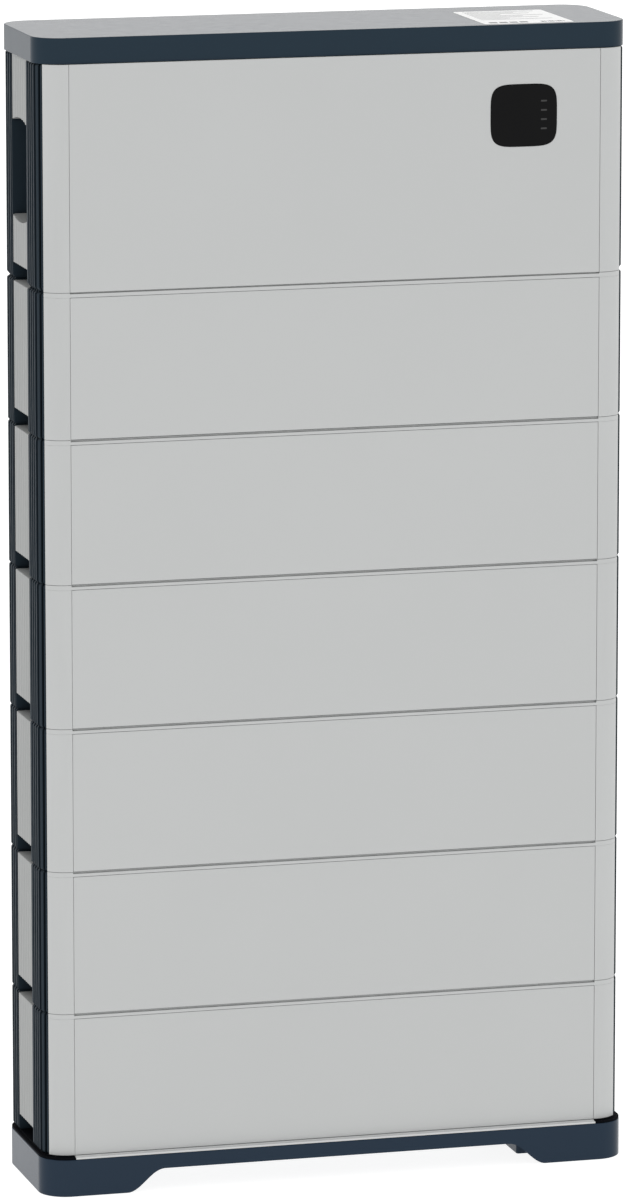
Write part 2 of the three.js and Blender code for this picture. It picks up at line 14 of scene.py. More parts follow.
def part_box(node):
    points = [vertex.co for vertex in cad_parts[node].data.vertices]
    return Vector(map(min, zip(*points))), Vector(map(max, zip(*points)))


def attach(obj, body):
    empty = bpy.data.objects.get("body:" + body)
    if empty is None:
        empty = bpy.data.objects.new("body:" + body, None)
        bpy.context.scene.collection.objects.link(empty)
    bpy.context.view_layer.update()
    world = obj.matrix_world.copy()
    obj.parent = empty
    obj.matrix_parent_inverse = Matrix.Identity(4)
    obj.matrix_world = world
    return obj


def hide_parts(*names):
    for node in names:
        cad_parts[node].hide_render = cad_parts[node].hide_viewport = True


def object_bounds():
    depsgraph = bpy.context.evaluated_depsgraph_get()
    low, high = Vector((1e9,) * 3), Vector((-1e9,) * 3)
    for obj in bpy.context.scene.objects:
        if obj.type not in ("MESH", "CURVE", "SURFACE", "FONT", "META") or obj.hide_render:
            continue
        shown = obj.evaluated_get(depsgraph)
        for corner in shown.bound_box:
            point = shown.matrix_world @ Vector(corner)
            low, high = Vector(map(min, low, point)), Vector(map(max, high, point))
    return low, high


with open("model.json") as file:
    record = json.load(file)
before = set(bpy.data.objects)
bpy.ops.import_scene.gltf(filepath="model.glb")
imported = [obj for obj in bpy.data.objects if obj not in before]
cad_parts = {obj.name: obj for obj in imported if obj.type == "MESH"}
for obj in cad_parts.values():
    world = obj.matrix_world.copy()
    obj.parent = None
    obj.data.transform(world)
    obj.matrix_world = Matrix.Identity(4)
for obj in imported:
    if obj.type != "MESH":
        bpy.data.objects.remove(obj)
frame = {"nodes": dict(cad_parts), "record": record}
CAD_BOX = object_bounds()
MM = 0.001


# ---------------------------------------------------------------- sizes from the frame
def low(node):
    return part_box(node)[0]


def high(node):
    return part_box(node)[1]


MODULES = [f"module_{number}" for number in range(1, 7)]
UNITS = MODULES + ["top_unit"]
SIDES = (("left", -1), ("right", 1))

HALF_WIDTH = high("module_1_right_end_cap").x
FRONT = low("module_1_front_panel").y
BACK = high("module_1_housing").y
SEAM = high("base_tray").x
CORNER = 29.3 * MM  # radius of the front corners
REAR_CORNER = 22 * MM
WRAP_ANGLE = math.radians(52)  # how far round the corner the light wrap reaches
WRAP_THICKNESS = 6 * MM
GAP = 0.4 * MM  # between pieces that meet
WALL = 4 * MM

# Stations along the right half of the outline, from the front centre.
ARC_STEP = 1.5 * MM
ARC_START = HALF_WIDTH - CORNER
ARC_LENGTH = CORNER * math.pi / 2
SIDE_START = ARC_START + ARC_LENGTH
BACK_ARC = SIDE_START + BACK - FRONT - CORNER - REAR_CORNER
REAR_ARC_LENGTH = REAR_CORNER * math.pi / 2
REAR_CENTRE = HALF_WIDTH - REAR_CORNER
WRAP_END = ARC_START + CORNER * WRAP_ANGLE

STRIP_FRONT = low("module_1_right_strip").y - GAP
STRIP_BACK = high("module_1_right_strip").y + GAP
STRIP_INNER = low("module_1_right_strip").x
WEB_FACE = STRIP_INNER - GAP

PANEL_BACK = high("module_1_front_panel").y
SEAT = PANEL_BACK + GAP
RAIL_GROOVE = 0.4 * MM
RAIL_DROP = 1.7 * MM  # the rail stops this far below its unit's top, for a shadow line
TOP_RAIL_DROP = 1.1 * MM  # the same, on the highest module
PANEL_LIFT = 0.3 * MM  # widens that line from above


def unit_span(unit):
    """Bottom and top of a stacked unit: those of its ribbed end caps."""
    return low(f"{unit}_right_end_cap").z, high(f"{unit}_right_end_cap").z


# ---------------------------------------------------------------- outlines
def rim_point(s, inset):
    """The point s along the right half of the body's outline, walked from the front centre."""
    if s <= ARC_START:
        return Vector((s, FRONT + inset))
    if s <= SIDE_START:
        reach = CORNER - inset
        a = (s - ARC_START) / CORNER
        return Vector((ARC_START + reach * math.sin(a), FRONT + CORNER - reach * math.cos(a)))
    if s <= BACK_ARC:
        return Vector((HALF_WIDTH - inset, FRONT + CORNER + s - SIDE_START))
    reach = REAR_CORNER - inset
    a = (s - BACK_ARC) / REAR_CORNER
    return Vector((REAR_CENTRE + reach * math.cos(a), BACK - REAR_CORNER + reach * math.sin(a)))


def side_station(y):
    return SIDE_START + y - FRONT - CORNER


def stations(start, end, step):
    """Stations from start to end: close together round the corners, only the ends elsewhere."""
    inside = []
    for arc, length in ((ARC_START, ARC_LENGTH), (BACK_ARC, REAR_ARC_LENGTH)):
        count = math.ceil(length / step)
        inside += [arc + length * i / count for i in range(count + 1)]
    return [start] + [s for s in inside if start + step / 3 < s < end - step / 3] + [end]


def rim_path(start, end, inset):
    return [rim_point(s, inset) for s in stations(start, end, ARC_STEP)]


def wrap_root(half, inset):
    """The station at which a wall's inner face, inset from the rim, meets x = half."""
    if half <= ARC_START:
        return half
    return ARC_START + CORNER * math.asin((half - ARC_START) / (CORNER - inset))


def mirror(outline):
    return [Vector((-p.x, p.y)) for p in reversed(outline)]


def rounded(outline, radius, steps=4):
    """The outline with an arc in place of each sharp corner."""
    sharp = math.radians(25)
    result = []
    for i, p in enumerate(outline):
        back = outline[i - 1] - p
        ahead = outline[(i + 1) % len(outline)] - p
        between = back.angle(ahead, math.pi)
        if math.pi - between < sharp:
            result.append(p)
            continue
        reach = min(radius / math.tan(between / 2), 0.45 * back.length, 0.45 * ahead.length)
        start = p + back.normalized() * reach
        end = p + ahead.normalized() * reach
        depth = reach / math.cos(between / 2)
        centre = p + (back.normalized() + ahead.normalized()).normalized() * depth
        swing = (start - centre).angle_signed(end - centre)
        for step in range(steps + 1):
            arm = (start - centre).copy()
            arm.rotate(Matrix.Rotation(-swing * step / steps, 2))
            result.append(centre + arm)
    return result


def drawn_in(outline, inset):
    """The outline moved inwards along the mean of each corner's two edge normals."""
    result = []
    for i, p in enumerate(outline):
        back = (p - outline[i - 1]).normalized()
        ahead = (outline[(i + 1) % len(outline)] - p).normalized()
        normals = [Vector((-edge.y, edge.x)) for edge in (back, ahead)]
        mean = (normals[0] + normals[1]).normalized()
        result.append(p + mean * inset / max(mean.dot(normals[0]), 0.5))
    return result


def bezier(a, b, c, d, steps=16):
    """Points along a cubic curve from a to d."""
    points = []
    for i in range(steps + 1):
        t = i / steps
        ab, bc, cd = a.lerp(b, t), b.lerp(c, t), c.lerp(d, t)
        points.append(ab.lerp(bc, t).lerp(bc.lerp(cd, t), t))
    return points


def box_outline(x0, x1, y0, y1):
    return [Vector((x0, y0)), Vector((x1, y0)), Vector((x1, y1)), Vector((x0, y1))]


def round_box_outline(x0, x1, y0, y1, radius, steps=16):
    return rounded(box_outline(x0, x1, y0, y1), radius, steps)


def centred_outline(x, y, half_x, half_y, radius):
    return round_box_outline(x - half_x, x + half_x, y - half_y, y + half_y, radius, 5)


def circle_outline(x, y, radius, count=32):
    turns = [2 * math.pi * i / count for i in range(count)]
    return [Vector((x + radius * math.cos(a), y + radius * math.sin(a))) for a in turns]


# ---------------------------------------------------------------- mesh pieces
def upright(u, v, w):
    return Vector((u, v, w))


def facing_front(u, v, w):
    """An outline in x and z, raised towards the front to y = -w."""
    return Vector((u, -w, v))


def facing_back(u, v, w):
    return Vector((u, w, v))


def facing_left(u, v, w):
    """An outline in y and z, raised outwards on the left side to x = -w."""
    return Vector((-w, u, v))


def along_x(u, v, w):
    """A section in y and z, drawn out along x."""
    return Vector((w, u, v))


def quarter_round(edge, steps):
    """Inset and distance from the end face, from the end face inwards, for a rounded edge."""
    turns = [math.pi / 2 * i / steps for i in range(steps + 1)]
    return [(edge * (1 - math.sin(a)), edge * (1 - math.cos(a))) for a in turns]


def slab(outline, bottom, top, edge=0.6 * MM, place=upright, bottom_edge=None, steps=3):
    """Rings of a slab with rounded edges. An edge of 0 stays sharp."""
    bottom_edge = edge if bottom_edge is None else bottom_edge
    lower = quarter_round(bottom_edge, steps) if bottom_edge else [(0, 0)]
    upper = quarter_round(edge, steps) if edge else [(0, 0)]
    levels = [(inset, bottom + rise) for inset, rise in lower]
    levels += [(inset, top - rise) for inset, rise in reversed(upper)]
    return [[place(p.x, p.y, w) for p in drawn_in(outline, inset)] for inset, w in levels]


def post(x, y, bottom, top, radius, edge=1 * MM, place=upright):
    return slab(circle_outline(x, y, radius), bottom, top, edge, place)


def loft(bm, rings):
    """A closed shell through rings of equally many points, with a flat face at each end."""
    loops = [[bm.verts.new(p) for p in ring] for ring in rings]
    count = len(loops[0])
    for lower, upper in zip(loops, loops[1:]):
        for i in range(count):
            j = (i + 1) % count
            bm.faces.new((lower[i], lower[j], upper[j], upper[i]))
    bm.faces.new(loops[0][::-1])
    bm.faces.new(loops[-1])


def shells_mesh(name, shells):
    """One mesh of closed shells, each given as its rings."""
    bm = bmesh.new()
    for rings in shells:
        loft(bm, rings)
    bmesh.ops.remove_doubles(bm, verts=bm.verts, dist=2e-6)
    bmesh.ops.recalc_face_normals(bm, faces=bm.faces)
    mesh = bpy.data.meshes.new(name)
    bm.to_mesh(mesh)
    bm.free()
    return mesh


def new_object(name, mesh):
    obj = bpy.data.objects.new(name, mesh)
    bpy.context.scene.collection.objects.link(obj)
    return obj


def carve(obj, shells, operation="DIFFERENCE"):
    """Cuts closed shells out of an object's mesh, or joins them to it."""
    cutter = new_object("cutter", shells_mesh("cutter", shells))
    modifier = obj.modifiers.new("carve", "BOOLEAN")
    modifier.object = cutter
    modifier.operation = operation
    modifier.solver = "EXACT"
    evaluated = obj.evaluated_get(bpy.context.evaluated_depsgraph_get())
    mesh = bpy.data.meshes.new_from_object(evaluated)
    obj.modifiers.clear()
    obj.data = mesh
    bpy.data.objects.remove(cutter)


def smooth(obj, angle=32):
    """Smooth shading that leaves the flat faces flat and the sharp edges sharp."""
    obj.data.shade_smooth()
    obj.data.set_sharp_from_angle(angle=math.radians(angle))
    modifier = obj.modifiers.new("flat_faces", "WEIGHTED_NORMAL")
    modifier.keep_sharp = True


def dress(obj, material, slot, body, *replaced):
    """Gives a finished mesh its material and its place in the frame."""
    obj.data.materials.clear()
    obj.data.materials.append(material)
    smooth(obj)
    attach(obj, body)
    if replaced:
        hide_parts(*replaced)
    return obj


def piece(name, shells, material, slot, body, *replaced, cuts=(), joins=()):
    """A part made of shells, less its cuts and with its joins, dressed for the frame."""
    obj = new_object(name, shells_mesh(name, shells))
    if cuts:
        carve(obj, cuts)
    if joins:
        carve(obj, joins, "UNION")
    return dress(obj, material, slot, body, *replaced)


# ---------------------------------------------------------------- materials
NOISE_MIDDLE = (0.3, 0.7)
FLOW_MARKS = (1, 1, 6)


class Recipe:
    """A Principled material whose colour, roughness and bump come from noise on the object."""

    def __init__(self, name, color, roughness, metallic=0.0, specular=0.5):
        self.material = bpy.data.materials.new(name)
        self.material.use_nodes = True
        self.tree = self.material.node_tree
        self.shader = self.tree.nodes["Principled BSDF"]
        self.shader.inputs["Metallic"].default_value = metallic
        self.shader.inputs["Specular IOR Level"].default_value = specular
        self.place = self.node("ShaderNodeTexCoord").outputs["Object"]
        self.color = color
        self.roughness = roughness
        self.height = None

    def node(self, kind, **values):
        node = self.tree.nodes.new(kind)
        for key, value in values.items():
            setattr(node, key, value)
        return node

    def link(self, source, target):
        self.tree.links.new(source, target)

    def noise(self, size, detail=3.0, stretch=(1, 1, 1)):
        """Noise with features about `size` metres across, longer along a stretched axis."""
        mapping = self.node("ShaderNodeMapping")
        mapping.inputs["Scale"].default_value = [1 / (size * s) for s in stretch]
        noise = self.node("ShaderNodeTexNoise")
        noise.inputs["Scale"].default_value = 1.0
        noise.inputs["Detail"].default_value = detail
        self.link(self.place, mapping.inputs["Vector"])
        self.link(mapping.outputs["Vector"], noise.inputs["Vector"])
        return noise.outputs["Fac"]

    def spread(self, value, lowest, highest):
        """Maps the middle of a noise value to a range."""
        remap = self.node("ShaderNodeMapRange")
        remap.inputs["From Min"].default_value = NOISE_MIDDLE[0]
        remap.inputs["From Max"].default_value = NOISE_MIDDLE[1]
        remap.inputs["To Min"].default_value = lowest
        remap.inputs["To Max"].default_value = highest
        self.link(value, remap.inputs["Value"])
        return remap.outputs["Result"]

    def shade(self, value, amount):
        """The base colour, made darker and lighter by up to `amount` of itself."""
        ramp = self.node("ShaderNodeValToRGB")
        ramp.color_ramp.elements[0].position = NOISE_MIDDLE[0]
        ramp.color_ramp.elements[1].position = NOISE_MIDDLE[1]
        ramp.color_ramp.elements[0].color = [c * (1 - amount) for c in self.color] + [1]
        ramp.color_ramp.elements[1].color = [min(c * (1 + amount), 1) for c in self.color] + [1]
        self.link(value, ramp.inputs["Fac"])
        self.link(ramp.outputs["Color"], self.shader.inputs["Base Color"])
        return ramp.outputs["Color"]

    def paint_shade_in_hollows(self, color, reach):
        """Paints shade into the colour, darker in grooves and corners narrower than `reach`, through an
        occlusion node.
        """
        hollow_shade = self.node("ShaderNodeAmbientOcclusion", samples=8)
        hollow_shade.inputs["Distance"].default_value = reach
        self.link(color, hollow_shade.inputs["Color"])
        self.link(hollow_shade.outputs["Color"], self.shader.inputs["Base Color"])

    def rough(self, value, amount):
        result = self.spread(value, self.roughness - amount, self.roughness + amount)
        self.link(result, self.shader.inputs["Roughness"])

    def bump(self, value, depth, strength=1.0):
        bump = self.node("ShaderNodeBump")
        bump.inputs["Distance"].default_value = depth
        bump.inputs["Strength"].default_value = strength
        self.link(value, bump.inputs["Height"])
        if self.height is not None:
            self.link(self.height, bump.inputs["Normal"])
        self.height = bump.outputs["Normal"]
        self.link(self.height, self.shader.inputs["Normal"])


def powder_coat(name, color, roughness, specular=0.5):
    """Sprayed coating: faint orange peel, and a colour that drifts a little over the sheet."""
    recipe = Recipe(name, color, roughness, specular=specular)
    recipe.shade(recipe.noise(140 * MM, 2), 0.006)
    recipe.rough(recipe.noise(14 * MM, 4), 0.06 * roughness)
    recipe.bump(recipe.noise(1.6 * MM, 2), 0.003 * MM)
    return recipe.material


def moulding(name, color, roughness, grain, depth, specular=0.5):
    """Moulded plastic: fine spark-eroded grain and flow marks up the height of the part."""
    recipe = Recipe(name, color, roughness, specular=specular)
    recipe.shade(recipe.noise(45 * MM, 3, FLOW_MARKS), 0.02)
    recipe.rough(recipe.noise(9 * MM, 4), 0.04)
    recipe.bump(recipe.noise(grain, 2), depth)
    return recipe.material


def ribbed_moulding(name, color, roughness, specular):
    """Moulded plastic with painted shade in its grooves."""
    recipe = Recipe(name, color, roughness, specular=specular)
    # painted shade: an occlusion node darkens the colour in the grooves and corners
    recipe.paint_shade_in_hollows(recipe.shade(recipe.noise(45 * MM, 3, FLOW_MARKS), 0.02), 5 * MM)
    recipe.rough(recipe.noise(9 * MM, 4), 0.04)
    recipe.bump(recipe.noise(0.7 * MM, 2), 0.003 * MM)
    return recipe.material


def plated_steel(name, color, roughness):
    """Rolled and zinc-plated sheet: long fine streaks under a cloudy passivated film."""
    recipe = Recipe(name, color, roughness, metallic=1.0)
    recipe.shade(recipe.noise(12 * MM, 5), 0.12)
    recipe.rough(recipe.noise(0.5 * MM, 3, (60, 1, 1)), 0.09)
    recipe.bump(recipe.noise(0.4 * MM, 2, (80, 1, 1)), 0.01 * MM)
    return recipe.material


def glossy(name, color, roughness, specular):
    """Polished window: a trace of haze and waviness."""
    recipe = Recipe(name, color, roughness, specular=specular)
    recipe.shade(recipe.noise(25 * MM, 2), 0.05)
    recipe.rough(recipe.noise(6 * MM, 5), 0.02)
    recipe.bump(recipe.noise(30 * MM, 1), 0.01 * MM)
    return recipe.material


def circuit_board(name, color):
    """Green solder mask with faint traces that run both ways across it."""
    recipe = Recipe(name, color, 0.4)
    traces = recipe.node("ShaderNodeTexBrick")
    traces.inputs["Scale"].default_value = 1.0
    traces.inputs["Brick Width"].default_value = 0.8
    traces.inputs["Row Height"].default_value = 0.25
    traces.inputs["Mortar Size"].default_value = 0.03
    traces.inputs["Color1"].default_value = [*color, 1]
    traces.inputs["Color2"].default_value = [c * 0.85 for c in color] + [1]
    traces.inputs["Mortar"].default_value = [c * 1.7 for c in color] + [1]
    turn = recipe.node("ShaderNodeMapping")
    turn.inputs["Rotation"].default_value = (math.pi / 2, 0, 0)
    turn.inputs["Scale"].default_value = (60, 60, 60)
    recipe.link(recipe.place, turn.inputs["Vector"])
    recipe.link(turn.outputs["Vector"], traces.inputs["Vector"])
    recipe.link(traces.outputs["Color"], recipe.shader.inputs["Base Color"])
    recipe.rough(recipe.noise(5 * MM), 0.08)
    recipe.bump(traces.outputs["Fac"], 0.05 * MM)
    return recipe.material


PANEL = powder_coat("panel_coat", (0.51, 0.52, 0.517), 0.42)
HOUSING = moulding("housing_moulding", (0.51, 0.52, 0.517), 0.45, 0.9 * MM, 0.003 * MM)
TRAY = moulding("tray_moulding", (0.60, 0.61, 0.61), 0.45, 0.9 * MM, 0.003 * MM)
STRIP = moulding("strip_moulding", (0.335, 0.343, 0.339), 0.48, 0.8 * MM, 0.003 * MM)
# the end caps' moulding carries painted shade in its grooves
END_CAP = ribbed_moulding("end_cap_moulding", (0.0195, 0.030, 0.040), 0.5, 0.045)
# Near-black surround, darker than the end caps' moulding of its slot: a black part whose colour is deepened
# as painted shade in the plinth's rounded ends.
SURROUND_BLACK_PAINTED_SHADE = moulding("surround_black_painted_shade", (0.003, 0.0035, 0.005), 0.7, 0.9 * MM, 0.004 * MM, 0.02)
SLATE = powder_coat("slate_coat", (0.0165, 0.031, 0.046), 0.2, 0.09)
# The plinth's copy of the slate coat is bluer and shinier than the cover's: painted light for how the light
# falls on the plinth.
PLINTH_SLATE_PAINTED_LIGHT = powder_coat("plinth_slate_painted_light", (0.0165, 0.0305, 0.051), 0.2, 0.118)
GLASS = glossy("display_glass", (0.0045, 0.0045, 0.0048), 0.08, 0.07)
INDICATOR = moulding("indicator_bars", (0.045, 0.045, 0.045), 0.3, 0.5 * MM, 0.002 * MM, 0.2)
CELL = moulding("cell_wrap", (0.03, 0.10, 0.28), 0.32, 3 * MM, 0.01 * MM)
BOARD = circuit_board("board_mask", (0.02, 0.11, 0.05))
STEEL = plated_steel("plated_steel", (0.33, 0.34, 0.35), 0.34)
SWITCH_GEAR = moulding("switch_gear_moulding", (0.014, 0.017, 0.020), 0.4, 0.6 * MM, 0.003 * MM, 0.3)
BUTTON = moulding("button_moulding", (0.60, 0.62, 0.63), 0.3, 0.8 * MM, 0.002 * MM)
LABEL = moulding("label_film", (0.88, 0.88, 0.875), 0.45, 1 * MM, 0.001 * MM)
INK = moulding("label_ink", (0.10, 0.105, 0.11), 0.5, 1 * MM, 0.001 * MM)


# ---------------------------------------------------------------- stacking parts
DOWEL_X = 200 * MM
DOWEL_RADIUS = 12 * MM
PLUG_HALF = Vector((45 * MM, 13 * MM))
BOSS_HEIGHT = 9 * MM
JOINT_GAP = low("module_2_right_end_cap").z - high("module_1_right_end_cap").z


def plug_outline(play=0.0):
    x, y = PLUG_HALF.x + play, PLUG_HALF.y + play
    return round_box_outline(-x, x, -y, y, 4 * MM, 6)


def bosses(top):
    """Two dowels and the blind-mating plug that stand on a unit's roof."""
    root = top - 1 * MM
    shells = [slab(plug_outline(), root, top + BOSS_HEIGHT, 1.5 * MM)]
    for side in (-1, 1):
        shells.append(post(side * DOWEL_X, 0, root, top + BOSS_HEIGHT, DOWEL_RADIUS, 2 * MM))
    return shells


def sockets(bottom):
    """The hollows that take them in the unit above."""
    play = 0.8 * MM
    mouth = bottom - 1 * MM
    ceiling = bottom - JOINT_GAP + BOSS_HEIGHT + GAP
    shells = [slab(plug_outline(play), mouth, ceiling, 0)]
    for side in (-1, 1):
        shells.append(post(side * DOWEL_X, 0, mouth, ceiling, DOWEL_RADIUS + play, 0))
    return shells


# ---------------------------------------------------------------- housings and front panels
END_EDGE = 0.25 * MM
FLOOR_THICKNESS = 14 * MM
ROOF_THICKNESS = 6 * MM


def housing_ring(half, z, front, inset):
    """One level of a housing: the corner wraps, and a front wall at y = front between the seams."""
    outer = rim_path(SEAM, WRAP_END, inset)
    inner = rim_path(wrap_root(half, WRAP_THICKNESS), WRAP_END, WRAP_THICKNESS)
    lip = [rim_point(WRAP_END, inset + (WRAP_THICKNESS - inset) * share) for share in (0.12, 0.5)]
    right = [Vector((SEAM, front)), *outer, *lip, *inner[::-1], Vector((half, BACK - inset))]
    return [upright(p.x, p.y, z) for p in right + mirror(right)]


def housing_levels(bottom, top, rail_bottom, rail_top):
    """Height, front wall and inset of each level, from the floor to the roof."""
    ends = quarter_round(END_EDGE, 3)
    levels = [(bottom + rise, SEAT, inset) for inset, rise in ends]
    if rail_bottom is not None:
        line = rail_bottom - RAIL_GROOVE / 2
        levels += [(line - END_EDGE, SEAT, 0), (line, SEAT, END_EDGE), (line + 0.15 * MM, SEAT, 0)]
        levels.append((rail_bottom, SEAT, 0))
        levels += [(rail_bottom + rise, FRONT + inset, 0) for inset, rise in ends]
        levels += [(rail_top - rise, FRONT + inset, 0) for inset, rise in reversed(ends)]
        levels.append((rail_top, SEAT, 0))
    return levels + [(top - rise, SEAT, inset) for inset, rise in reversed(ends)]


def housing(unit):
    """Hollow housing of one unit, with its rail, its sockets below and its bosses above."""
    bottom, top = unit_span(unit)
    half = low(f"{unit}_right_end_cap").x - GAP
    panel_top = high(f"{unit}_front_panel").z
    rail_bottom = panel_top + RAIL_GROOVE if top - panel_top > RAIL_GROOVE else None
    rail_top = top - (TOP_RAIL_DROP if unit == MODULES[-1] else RAIL_DROP)
    rings = [housing_ring(half, *level) for level in housing_levels(bottom, top, rail_bottom, rail_top)]
    inner = min(half - WALL, SEAM - 2 * WALL)
    room = box_outline(-inner, inner, FRONT - WALL, BACK - WALL)
    cavity = slab(room, bottom + FLOOR_THICKNESS, top - ROOF_THICKNESS, 0)
    name = f"{unit}_shell"
    obj = new_object(name, shells_mesh(name, [rings]))
    carve(obj, [cavity, *sockets(bottom)])
    carve(obj, bosses(top), "UNION")
    return dress(obj, HOUSING, "housing", unit, f"{unit}_housing")


def panel_outline(unit):
    lo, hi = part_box(f"{unit}_front_panel")
    bottom = lo.z + (PANEL_LIFT if unit in MODULES[1:] else 0)
    return round_box_outline(lo.x, hi.x, bottom, hi.z, 0.4 * MM, 4)


def front_panel(unit, cuts=()):
    """Coated sheet between the seams."""
    rings = slab(panel_outline(unit), -PANEL_BACK, -FRONT, 0.3 * MM, facing_front)
    return piece(f"{unit}_fascia", [rings], PANEL, "panel", unit, f"{unit}_front_panel", cuts=cuts)


# ---------------------------------------------------------------- ribbed end caps
FIRST_GROOVE = 31.2 * MM  # middle of the groove beside the wrap, along the corner from its start
FIRST_WIDTH = 3 * MM
RIB_PITCH = 9 * MM
RIB_GROOVE = 4.4 * MM
GROOVE_DEPTH = 3.2 * MM
COLUMN_START = WRAP_END + 0.6 * MM
STRIP_FROM = side_station(STRIP_FRONT)
STRIP_TO = side_station(STRIP_BACK)
# Depth and height of the chamfers at the columns' ends.
COLUMN_CHAMFER = (1.7 * MM, 2.4 * MM)
TOP_JOINT_UPPER = (3.6 * MM, 4.7 * MM)
TOP_JOINT_LOWER = (3.6 * MM, 2.6 * MM)


def grooved(start, end, grooves):
    """(station, depth) pairs of a rim walk with round-shouldered grooves in it."""
    shoulder = 0.6 * MM
    steps = 4
    marks = []
    for middle, width in grooves:
        for side in (-1, 1):
            for i in range(steps + 1):
                share = i / steps
                s = middle + side * (width / 2 + shoulder * (0.5 - share))
                marks.append((s, GROOVE_DEPTH * (1 - math.cos(math.pi * share)) / 2))
    reach = [(c, w / 2 + shoulder) for c, w in grooves]
    clear = [s for s in stations(start, end, ARC_STEP) if all(abs(s - c) > r for c, r in reach)]
    return sorted(marks + [(s, 0.0) for s in clear])


def front_grooves():
    """Middle and width of each groove between the corner wrap and the strip."""
    grooves = [(ARC_START + FIRST_GROOVE, FIRST_WIDTH)]
    while grooves[-1][0] + RIB_PITCH < STRIP_FROM - RIB_GROOVE / 2:
        grooves.append((grooves[-1][0] + RIB_PITCH, RIB_GROOVE))
    return grooves


def rear_grooves(end):
    """The same, from the strip to the rear corner."""
    grooves = []
    s = STRIP_TO + RIB_PITCH / 2
    while s < end - RIB_PITCH / 2:
        grooves.append((s, RIB_GROOVE))
        s += RIB_PITCH
    return grooves


def end_cap_ring(inner, z, chamfer):
    """One level of a right-hand end cap, cut back to the depth of its chamfer there."""
    lining = WRAP_THICKNESS + GAP
    rear_end = BACK_ARC + REAR_CORNER * math.acos(max(inner - REAR_CENTRE, 0) / REAR_CORNER)
    front = grooved(COLUMN_START, STRIP_FROM, front_grooves())
    rear = grooved(STRIP_TO, rear_end, rear_grooves(rear_end))
    outline = rim_path(wrap_root(inner, lining), COLUMN_START, lining)
    outline += [rim_point(s, max(depth, chamfer)) for s, depth in front]
    outline += [Vector((WEB_FACE, STRIP_FRONT)), Vector((WEB_FACE, STRIP_BACK))]
    outline += [rim_point(s, max(depth, chamfer)) for s, depth in rear]
    outline += [Vector((inner - 0.01 * MM, BACK - chamfer))]
    return [upright(p.x, p.y, z) for p in outline]


def chamfer_levels(bottom, top, lower, upper):
    """Height and depth of each level: a slightly crowned chamfer at each end."""
    shares = (0, 0.35, 0.7, 0.9, 1)
    levels = [(bottom + lower[1] * t, lower[0] * (1 - t) ** 1.3) for t in shares]
    return levels + [(top - upper[1] * t, upper[0] * (1 - t) ** 1.3) for t in reversed(shares)]


def end_cap(unit, label, side, lower, upper, cuts=()):
    """Ribbed cap on one side of a unit, with a chamfer at each end."""
    node = f"{unit}_{label}_end_cap"
    bottom, top = unit_span(unit)
    inner = min(abs(low(node).x), abs(high(node).x))
    rings = [end_cap_ring(inner, *level) for level in chamfer_levels(bottom, top, lower, upper)]
    if side < 0:
        rings = [[Vector((-p.x, p.y, p.z)) for p in ring] for ring in rings]
    return piece(f"{unit}_{label}_column", [rings], END_CAP, "end_cap", unit, node, cuts=cuts)


# ---------------------------------------------------------------- fluted side strips
FLUTES = 8
FLUTE_DEPTH = 2.6 * MM
STRIP_EDGE = 0.5 * MM


def strip_ring(side, y, inset, bottom, top):
    """A strip's section at one place along Y, with both outer edges rounded."""
    outer = HALF_WIDTH - inset
    edge = quarter_round(STRIP_EDGE, 3)
    section = [(STRIP_INNER, bottom)]
    section += [(outer - drop, bottom + rise) for drop, rise in edge]
    section += [(outer - drop, top - rise) for drop, rise in reversed(edge)]
    section += [(STRIP_INNER, top)]
    return [Vector((side * x, y, z)) for x, z in section]


def strip(node, unit, side, lower_dip=0.0, upper_dip=0.0):
    """Light strip with flutes up its face; its ends may be dished by an arc along Y."""
    start, end = low(node).y, high(node).y
    bottom, top = low(node).z, high(node).z
    middle, half = (start + end) / 2, (end - start) / 2
    per_flute = 10
    count = FLUTES * per_flute
    rings = []
    for i in range(count + 1):
        y = start + (end - start) * i / count
        wave = abs(math.sin(math.pi * i / per_flute))
        inset = FLUTE_DEPTH * (1 - wave ** 0.5)
        arc = 1 - ((y - middle) / half) ** 2
        rings.append(strip_ring(side, y, inset, bottom + lower_dip * arc, top - upper_dip * arc))
    return piece(node.replace("strip", "flutes"), [rings], STRIP, "strip", unit, node)


def module(unit):
    """One battery module. The highest has a chamfer of its own under the top unit."""
    housing(unit)
    front_panel(unit)
    upper = TOP_JOINT_LOWER if unit == MODULES[-1] else COLUMN_CHAMFER
    for label, side in SIDES:
        end_cap(unit, label, side, COLUMN_CHAMFER, upper)
        strip(f"{unit}_{label}_strip", unit, side)


# ---------------------------------------------------------------- top unit
BAY_BULGE = 5 * MM
BAY_BOTTOM = high("top_unit_left_lower_strip").z
BAY_TOP = low("top_unit_left_upper_strip").z
BAY_INNER = -high("connector_panel").x - GAP

DISPLAY_LOW, DISPLAY_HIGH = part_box("display_window")
DISPLAY_CENTRE = (DISPLAY_LOW + DISPLAY_HIGH) / 2
DISPLAY_HALF = (DISPLAY_HIGH - DISPLAY_LOW) / 2


def squircle(grow, count=96, power=4.5):
    """The display's outline, between a rounded square and a circle, grown by a margin."""
    points = []
    for i in range(count):
        a = 2 * math.pi * i / count
        c, s = math.cos(a), math.sin(a)
        x = math.copysign(abs(c) ** (2 / power), c) * (DISPLAY_HALF.x + grow)
        z = math.copysign(abs(s) ** (2 / power), s) * (DISPLAY_HALF.z + grow)
        points.append(Vector((DISPLAY_CENTRE.x + x, DISPLAY_CENTRE.z + z)))
    return points


